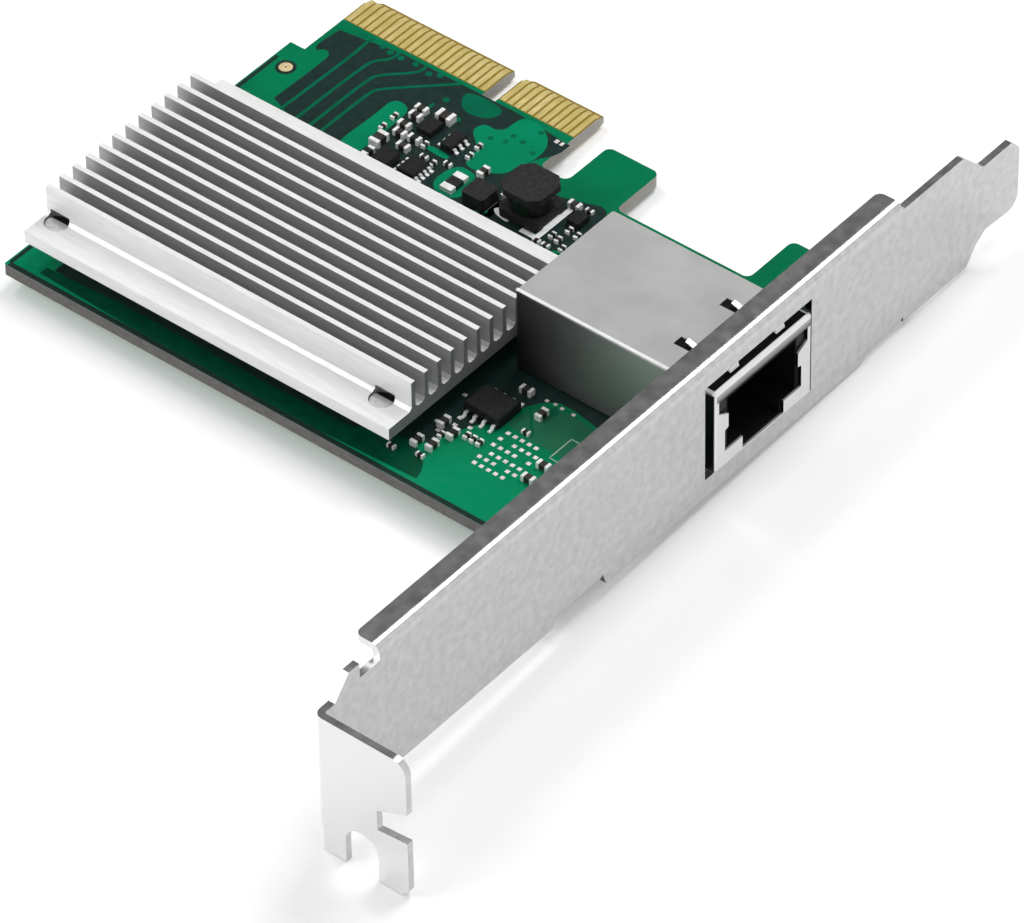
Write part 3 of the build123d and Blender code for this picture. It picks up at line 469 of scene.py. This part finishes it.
# Jack: a shield folded from tinned steel sheet over a black moulded housing, with dark lamps in
# it. Pins and tails are soldered into the board. The greys that change by place on the shield are
# painted light and shade: painted shade on the sides towards the back and behind the bracket and
# under the rolled top of the front, painted highlights on that rolled top, the face's near edge
# and the spring finger tips. The bright tin also dresses the small leads.
TIN_DARK = (0.52, 0.52, 0.515)
TIN_LIGHT = (0.56, 0.56, 0.555)
TIN_WALL = (0.42, 0.42, 0.415)
TIN_WALL_PAINTED_SHADE = (0.04, 0.04, 0.04)
FACE_PLANE = (-0.6, -0.2)
FACE_HIGHLIGHT_BAND = (10.85, 10.95)
FACE_TOP = 9.85
FACE_SIDE_HIGHLIGHT = (-39.1, -39.25)
FINGER_TIPS = (11.1, 11.2)
FINGER_ENDS = (-1.3, -1.2)
tinned = finish("tinned", TIN_LIGHT, metallic=0.55, roughness=0.3)
tin_skin = shades(tinned, spots(tinned, 2.2, 6.0), ((0.3, TIN_DARK), (0.7, TIN_LIGHT)))
# Painted shade: the sides darken towards the back by the heatsink, and go near black just behind the bracket.
tin_wall_and_shade = over(tinned, along(tinned, "X", -27.0, -8.0), TIN_WALL_PAINTED_SHADE, TIN_WALL)
tin_wall_and_shade = over(tinned, along(tinned, "X", -4.0, -1.5), tin_wall_and_shade, (0.004, 0.004, 0.004))
tin_sides = over(tinned, facing(tinned, "Y"), tin_skin, tin_wall_and_shade)
# Painted shade: a dark band under the rolled top of the front face. Painted highlight: white along that
# rolled top and along the face's near edge.
face_grey_and_shade = shades(tinned, along(tinned, "Z", FACE_TOP, FACE_HIGHLIGHT_BAND[0]), ((0.0, 0.85), (0.05, 0.1), (1.0, 0.5)))
painted_highlight = either(tinned, along(tinned, "Z", *FACE_HIGHLIGHT_BAND), along(tinned, "Y", *FACE_SIDE_HIGHLIGHT))
tin_face = over(tinned, painted_highlight, face_grey_and_shade, (1.0, 1.0, 1.0))
on_face = both(tinned, facing(tinned, "X"), along(tinned, "X", *FACE_PLANE))
# Painted highlight: the spring finger tips are coloured near white.
tips = both(tinned, along(tinned, "Z", *FINGER_TIPS), along(tinned, "X", *FINGER_ENDS))
bright = either(tinned, on_face, tips)
drive(tinned, "Base Color", over(tinned, tips,
                                 over(tinned, on_face, tin_sides, tin_face), (0.95, 0.95, 0.95)))
drive(tinned, "Roughness", over(tinned, facing(tinned, "Z"), (0.48, 0.48, 0.48),
                                shades(tinned, spots(tinned, 5.0, 4.0), ((0.3, 0.28), (0.7, 0.36)))))
tin_metal = over(tinned, facing(tinned, "Z"), (0.9, 0.9, 0.9), (0.4, 0.4, 0.4))
drive(tinned, "Metallic", over(tinned, bright, tin_metal, (0.15, 0.15, 0.15)))
bumps(tinned, spots(tinned, 0.3, 4.0), 0.003)
dress(tinned, "jack_shield")
black_moulding = finish("black_moulding", (0.004, 0.004, 0.004), roughness=0.6, specular=0.08)
drive(black_moulding, "Base Color", shades(black_moulding, spots(black_moulding, 1.0),
                                           ((0.3, (0.003, 0.003, 0.003)), (0.7, (0.006, 0.006, 0.006)))))
bumps(black_moulding, spots(black_moulding, 0.15, 3.0), 0.004)
dress(black_moulding, "jack_housing")
smoked = finish("smoked", (0.005, 0.005, 0.0045), roughness=0.25, specular=0.12)
drive(smoked, "Roughness", shades(smoked, spots(smoked, 0.8), ((0.3, 0.2), (0.7, 0.35))))
dress(smoked, "jack_lamps")
bright_tin = finish("bright_tin", (0.85, 0.85, 0.85), metallic=0.25, roughness=0.35)
drive(bright_tin, "Base Color", shades(bright_tin, spots(bright_tin, 0.4, 4.0), ((0.3, 0.8), (0.7, 1.0))))
drive(bright_tin, "Roughness", shades(bright_tin, spots(bright_tin, 0.3), ((0.3, 0.25), (0.7, 0.5))))
dress(bright_tin, "jack_pins", "inductor_terminals", "choke_terminals", "chip_leads", "flat_chip_pads",
      "crystal_cover", "capacitor_ends", "resistor_ends")

# Bend of the jack's shield: the near edge of its top is folded round from the same tinned sheet.
# A thin near-white strip laid over that edge is a painted highlight.
HIGHLIGHT_WIDTH = 0.42
highlight_tin = finish("highlight_tin", (0.95, 0.95, 0.95), metallic=0.2, roughness=0.35)
drive(highlight_tin, "Base Color", shades(highlight_tin, spots(highlight_tin, 1.5, 4.0), ((0.3, 0.85), (0.7, 1.0))))
JACK_NEAR = -39.55
JACK_TOP = 11.5
layer("shield_bend_highlight", [[(-27.45, JACK_NEAR + 0.02), (-0.2, JACK_NEAR + 0.02), (-0.2, JACK_NEAR + HIGHLIGHT_WIDTH),
                       (-27.45, JACK_NEAR + HIGHLIGHT_WIDTH)]], JACK_TOP - 0.1, JACK_TOP + 0.02, highlight_tin)

# Heatsink: extruded aluminium, sawn to length and blasted to a pale matt skin. Four tinned
# anchors fix it through the board. The grey fin walls and the dark sawn ends are painted shade.
FIRST_FIN = (-55.5, -55.7)
LAST_FIN = (-31.2, -30.9)
aluminium = finish("aluminium", (0.8, 0.8, 0.8), metallic=0.15, roughness=0.42)
pale_skin = shades(aluminium, spots(aluminium, 0.5, 5.0, (8, 1, 1)), ((0.3, (0.76, 0.76, 0.76)),
                                                                    (0.7, (0.84, 0.84, 0.84))))
# Painted shade: grey for the fin walls between the outer faces, and dark for the sawn ends.
painted_shade_skin = shades(aluminium, spots(aluminium, 0.6, 5.0, (8, 1, 1)), ((0.3, (0.38, 0.38, 0.38)),
                                                                    (0.7, (0.44, 0.44, 0.44))))
painted_shade_end = shades(aluminium, spots(aluminium, 0.4, 4.0), ((0.3, (0.17, 0.17, 0.17)),
                                                        (0.7, (0.24, 0.24, 0.24))))
outer = either(aluminium, along(aluminium, "Y", *FIRST_FIN), along(aluminium, "Y", *LAST_FIN))
lit = either(aluminium, facing(aluminium, "Z"), outer)
skin = over(aluminium, lit, painted_shade_skin, pale_skin)
drive(aluminium, "Base Color", over(aluminium, facing(aluminium, "X"), skin, painted_shade_end))
drive(aluminium, "Metallic", over(aluminium, facing(aluminium, "Y"), (0.1, 0.1, 0.1), (0.5, 0.5, 0.5)))
drive(aluminium, "Roughness", shades(aluminium, spots(aluminium, 0.8, 4.0), ((0.3, 0.36), (0.7, 0.5))))
bumps(aluminium, spots(aluminium, 0.2, 4.0, (6, 1, 1)), 0.003)
dress(aluminium, "heatsink")
anchor_tin = finish("anchor_tin", (0.5, 0.5, 0.5), metallic=0.5, roughness=0.45)
drive(anchor_tin, "Base Color", shades(anchor_tin, spots(anchor_tin, 0.5, 4.0),
                                       ((0.3, (0.52, 0.52, 0.52)), (0.7, (0.7, 0.7, 0.7)))))
dress(anchor_tin, "heatsink_anchors")

# Anchor barbs: each head carries a pale pressed tongue, cut straight on its far side. The bore
# behind it is filled with a black layer as painted shade.
BARB_RADIUS = 1.42
BARB_CUT = 0.5
BARB_TOP = 0.62
well_shade_black = finish("well_shade_black", (0.004, 0.004, 0.004), roughness=0.7, specular=0.1)
drive(well_shade_black, "Base Color", shades(well_shade_black, spots(well_shade_black, 0.3),
                                       ((0.3, (0.002, 0.002, 0.002)), (0.7, (0.008, 0.008, 0.008)))))
anchor_low, anchor_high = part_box("heatsink_anchors")
HEAD_RADIUS = 1.4
barb_places = [(x, y) for x in (anchor_low[0] / MM + HEAD_RADIUS, anchor_high[0] / MM - HEAD_RADIUS)
               for y in (anchor_low[1] / MM + HEAD_RADIUS, anchor_high[1] / MM - HEAD_RADIUS)]
barb = [(x, min(y, BARB_CUT)) for x, y in disc(0, 0, BARB_RADIUS, 32)]
behind = [(x, max(y, BARB_CUT)) for x, y in disc(0, 0, BARB_RADIUS, 32)]
head_top = anchor_high[2] / MM


def placed(outline, places):
    """Copies of one outline, moved to several places."""
    kept = [p for i, p in enumerate(outline) if i == 0 or math.dist(p, outline[i - 1]) > 0.01]
    return [[(x + dx, y + dy) for dx, dy in kept] for x, y in places]


layer("anchor_barbs", placed(barb, barb_places), head_top - 0.05, head_top + BARB_TOP,
      anchor_tin)
# Painted shade: a black layer in the bore behind each barb.
layer("anchor_well_shade", placed(behind, barb_places), head_top - 0.01, head_top + BARB_TOP - 0.08,
      well_shade_black)

# Solder joints under the board: tin that has wetted the board and drawn up round the jack's pins
# and tails and the anchors, narrowing away from the board.
SOLDER_TOP = -1.57
PIN_ROWS = ((-14.2, 2.54, 5), (-16.74, 2.54, 4), (-20.5, 13.4, 2), (-24.3, 13.4, 2))
JACK_MIDDLE = -31.05
TAIL_PLACES = [(-11.9, JACK_MIDDLE + side * 8.4) for side in (-1, 1)]
PIN_JOINT = ((0.8, 0.0), (0.62, 0.12), (0.42, 0.4), (0.36, 0.8))
ANCHOR_JOINT = ((1.35, 0.0), (1.05, 0.12), (0.8, 0.35), (0.72, 0.6))
TAIL_JOINT = ((1.4, 0.0), (1.15, 0.12), (0.9, 0.35), (0.78, 0.6))
solder = finish("solder", (0.62, 0.62, 0.62), metallic=0.9, roughness=0.3)
drive(solder, "Roughness", shades(solder, spots(solder, 0.5), ((0.3, 0.22), (0.7, 0.42))))
drive(solder, "Base Color", shades(solder, spots(solder, 0.8), ((0.3, 0.5), (0.7, 0.72))))
pin_places = [(x, JACK_MIDDLE + (i - (count - 1) / 2) * pitch)
              for x, pitch, count in PIN_ROWS for i in range(count)]
for name, places, joint in (("pin_joints", pin_places, PIN_JOINT),
                            ("anchor_joints", barb_places, ANCHOR_JOINT),
                            ("tail_joints", TAIL_PLACES, TAIL_JOINT)):
    profile = [(radius, SOLDER_TOP - drop) for radius, drop in joint]
    turned(name, places, profile, solder, closed=False, sides=16)

# Controller under the heatsink: a green laminate substrate soldered down by its balls, with a
# plated metal cap, and a soft pad pressed between the cap and the heatsink.
ball_tin = finish("ball_tin", (0.5, 0.5, 0.5), metallic=0.9, roughness=0.4)
drive(ball_tin, "Roughness", shades(ball_tin, spots(ball_tin, 0.3), ((0.3, 0.3), (0.7, 0.5))))
dress(ball_tin, "controller_balls")
substrate = finish("substrate", (0.01, 0.05, 0.02), roughness=0.4)
drive(substrate, "Base Color", shades(substrate, spots(substrate, 1.0), ((0.3, (0.006, 0.035, 0.015)),
                                                                      (0.7, (0.014, 0.06, 0.028)))))
dress(substrate, "controller_substrate")
plated_cap = finish("plated_cap", (0.6, 0.6, 0.58), metallic=1.0, roughness=0.35)
drive(plated_cap, "Roughness", shades(plated_cap, spots(plated_cap, 2.0), ((0.3, 0.28), (0.7, 0.42))))
dress(plated_cap, "controller_cap")
soft_pad = finish("soft_pad", (0.2, 0.2, 0.21), roughness=0.8)
drive(soft_pad, "Base Color", shades(soft_pad, spots(soft_pad, 0.4), ((0.3, (0.16, 0.16, 0.17)),
                                                                   (0.7, (0.25, 0.25, 0.26)))))
dress(soft_pad, "thermal_pad")

# Inductors: cores of pressed and fired ferrite, one with an enamelled copper winding that is near
# black, partly from its dark enamel and partly as painted shade. Their tinned feet, dressed with
# the bright tin above, are soldered to the board.
ferrite = finish("ferrite", (0.05, 0.05, 0.053), roughness=0.5, specular=0.12)
drive(ferrite, "Base Color", shades(ferrite, spots(ferrite, 0.5, 6.0), ((0.3, (0.016, 0.015, 0.016)),
                                                                     (0.7, (0.032, 0.03, 0.032)))))
bumps(ferrite, spots(ferrite, 0.18, 3.0), 0.01)
dress(ferrite, "inductor_core", "choke_body")
# Partly painted shade: the winding is coloured near black.
winding = finish("winding", (0.006, 0.005, 0.005), roughness=0.3)
drive(winding, "Base Color", shades(winding, spots(winding, 0.3, 2.0, (1, 1, 0.4)),
                                    ((0.3, (0.003, 0.003, 0.003)), (0.7, (0.014, 0.011, 0.01)))))
dress(winding, "inductor_winding")

# Chips: black epoxy with a fine grain, moulded round tinned leads that are soldered to the board.
# They carry no marking. The tray of the crystal is sandy ceramic under a metal cover.
epoxy = finish("epoxy", (0.03, 0.03, 0.032), roughness=0.5, specular=0.12)
drive(epoxy, "Base Color", shades(epoxy, spots(epoxy, 0.4, 5.0), ((0.3, (0.009, 0.009, 0.01)),
                                                               (0.7, (0.019, 0.019, 0.021)))))
bumps(epoxy, spots(epoxy, 0.12, 3.0), 0.006)
dress(epoxy, "chip_bodies", "flat_chip_bodies")
tray = finish("tray", (0.4, 0.36, 0.3), roughness=0.5)
drive(tray, "Base Color", shades(tray, spots(tray, 0.5), ((0.3, (0.3, 0.26, 0.2)),
                                                        (0.7, (0.46, 0.41, 0.34)))))
dress(tray, "crystal_tray")

# Chip parts: fired ceramic capacitors and glazed resistors between tinned ends, which stand on the
# board's lands and fix them there.
brown_ceramic = finish("brown_ceramic", (0.03, 0.022, 0.018), roughness=0.4)
drive(brown_ceramic, "Base Color", shades(brown_ceramic, spots(brown_ceramic, 1.5, 3.0),
                                          ((0.3, (0.012, 0.01, 0.009)), (0.7, (0.035, 0.026, 0.02)))))
dress(brown_ceramic, "capacitor_bodies")
glazed = finish("glazed", (0.012, 0.012, 0.013), roughness=0.3)
drive(glazed, "Base Color", shades(glazed, spots(glazed, 0.4), ((0.3, (0.008, 0.008, 0.009)),
                                                             (0.7, (0.02, 0.02, 0.022)))))
dress(glazed, "resistor_bodies")

# Stage: a pale floor like matt paper, through the three points that the card rests on. It isn't
# part of the card.
FLOOR_HEIGHT = -2.33 * MM
FLOOR_SLOPE_X = -0.00923
FLOOR_SLOPE_Y = 0.03388
FLOOR_SIZE = 3.0

floor_mesh = bpy.data.meshes.new("floor")
corners = [(x * FLOOR_SIZE / 2, y * FLOOR_SIZE / 2) for x, y in ((-1, -1), (1, -1), (1, 1), (-1, 1))]
floor_mesh.from_pydata(
    [(x, y, FLOOR_HEIGHT + FLOOR_SLOPE_X * x + FLOOR_SLOPE_Y * y) for x, y in corners], [],
    [(0, 1, 2, 3)])
floor = bpy.data.objects.new("floor", floor_mesh)
bpy.context.scene.collection.objects.link(floor)
paper = bpy.data.materials.new("paper")
paper.use_nodes = True
nodes, links = paper.node_tree.nodes, paper.node_tree.links
nodes.clear()
output = nodes.new("ShaderNodeOutputMaterial")
diffuse = nodes.new("ShaderNodeBsdfDiffuse")
diffuse.inputs["Color"].default_value = (0.92, 0.92, 0.92, 1)
glow = nodes.new("ShaderNodeEmission")
path = nodes.new("ShaderNodeLightPath")
lift = nodes.new("ShaderNodeMath")
lift.operation = "MULTIPLY"
lift.inputs[1].default_value = 0.15
add = nodes.new("ShaderNodeAddShader")
seen = nodes.new("ShaderNodeMath")
seen.operation = "MAXIMUM"
mirrored = nodes.new("ShaderNodeMath")
mirrored.operation = "MAXIMUM"
links.new(path.outputs["Is Glossy Ray"], mirrored.inputs[0])
links.new(path.outputs["Is Transmission Ray"], mirrored.inputs[1])
links.new(path.outputs["Is Camera Ray"], seen.inputs[0])
links.new(mirrored.outputs[0], seen.inputs[1])
links.new(seen.outputs[0], lift.inputs[0])
links.new(lift.outputs[0], glow.inputs["Strength"])
links.new(diffuse.outputs[0], add.inputs[0])
links.new(glow.outputs[0], add.inputs[1])
links.new(add.outputs[0], output.inputs["Surface"])
floor_mesh.materials.append(paper)

# Light: a pale room with a dim panel high behind the card, which level metal mirrors as grey,
# and three soft lamps: one behind, one at the heatsink's side and a weak one in front.
PANEL_SIDE = (-0.47, 0.57, 0.68)
ROOM_LEVEL = 0.58
world = bpy.data.worlds.new("room")
bpy.context.scene.world = world
world.use_nodes = True
nodes, links = world.node_tree.nodes, world.node_tree.links
place = nodes.new("ShaderNodeTexCoord")
turn = nodes.new("ShaderNodeVectorMath")
turn.operation = "DOT_PRODUCT"
turn.inputs[1].default_value = PANEL_SIDE
tone = nodes.new("ShaderNodeValToRGB")
stops = ((0.0, 1.0), (0.45, 1.0), (0.72, 0.7), (0.9, 0.17), (1.0, 0.13))
while len(tone.color_ramp.elements) < len(stops):
    tone.color_ramp.elements.new(0.5)
for element, (at, level) in zip(tone.color_ramp.elements, stops):
    element.position = at
    element.color = (level, level, level, 1)
links.new(place.outputs["Generated"], turn.inputs[0])
links.new(turn.outputs["Value"], tone.inputs["Fac"])
links.new(tone.outputs["Color"], nodes["Background"].inputs["Color"])
path = nodes.new("ShaderNodeLightPath")
mirrored = nodes.new("ShaderNodeMath")
mirrored.operation = "MAXIMUM"
level = nodes.new("ShaderNodeMapRange")
level.inputs["To Min"].default_value = ROOM_LEVEL
level.inputs["To Max"].default_value = 1.0
links.new(path.outputs["Is Glossy Ray"], mirrored.inputs[0])
links.new(path.outputs["Is Transmission Ray"], mirrored.inputs[1])
links.new(mirrored.outputs[0], level.inputs["Value"])
links.new(level.outputs["Result"], nodes["Background"].inputs["Strength"])


def lamp(name, place, aim, size, power):
    """A square soft lamp that looks at a point."""
    light = bpy.data.lights.new(name, "AREA")
    light.shape = "SQUARE"
    light.size = size
    light.energy = power
    holder = bpy.data.objects.new(name, light)
    holder.location = place
    holder.rotation_euler = (Vector(aim) - Vector(place)).to_track_quat("-Z", "Y").to_euler()
    bpy.context.scene.collection.objects.link(holder)


card_centre = (-0.036, -0.045, 0.005)
lamp("key", (0.0, 0.36, 0.66), card_centre, 0.34, 3.0)
lamp("side", (-0.46, 0.04, 0.62), card_centre, 0.18, 1.1)
lamp("front", (-0.32, -0.45, 0.38), card_centre, 0.25, 0.7)

# Camera: the photograph's view, a long lens above the bracket's near end. The values come from a
# camera that was fitted to the photograph.
CAMERA_AZIMUTH = math.radians(39.93)
CAMERA_HEIGHT = math.radians(42.53)
CAMERA_ROLL = math.radians(-1.03)
CAMERA_DISTANCE = 888.4 * MM
CAMERA_TARGET = Vector((-18.33 * MM, -51.54 * MM, 0))
CAMERA_LENS = 288.8

back = Vector((math.sin(CAMERA_AZIMUTH) * math.cos(CAMERA_HEIGHT),
               -math.cos(CAMERA_AZIMUTH) * math.cos(CAMERA_HEIGHT),
               math.sin(CAMERA_HEIGHT)))
sideways = (-back).cross(Vector((0, 0, 1))).normalized()
upward = sideways.cross(-back)
right = math.cos(CAMERA_ROLL) * sideways + math.sin(CAMERA_ROLL) * upward
upward = math.cos(CAMERA_ROLL) * upward - math.sin(CAMERA_ROLL) * sideways
camera_data = bpy.data.cameras.new("camera")
camera_data.lens = CAMERA_LENS
camera_data.sensor_width = 36
camera_data.clip_start = 0.01
camera = bpy.data.objects.new("camera", camera_data)
camera.matrix_world = Matrix((right, upward, back)).transposed().to_4x4()
camera.location = CAMERA_TARGET + CAMERA_DISTANCE * back
bpy.context.scene.collection.objects.link(camera)
bpy.context.scene.camera = camera
bpy.context.scene.view_settings.view_transform = "Standard"
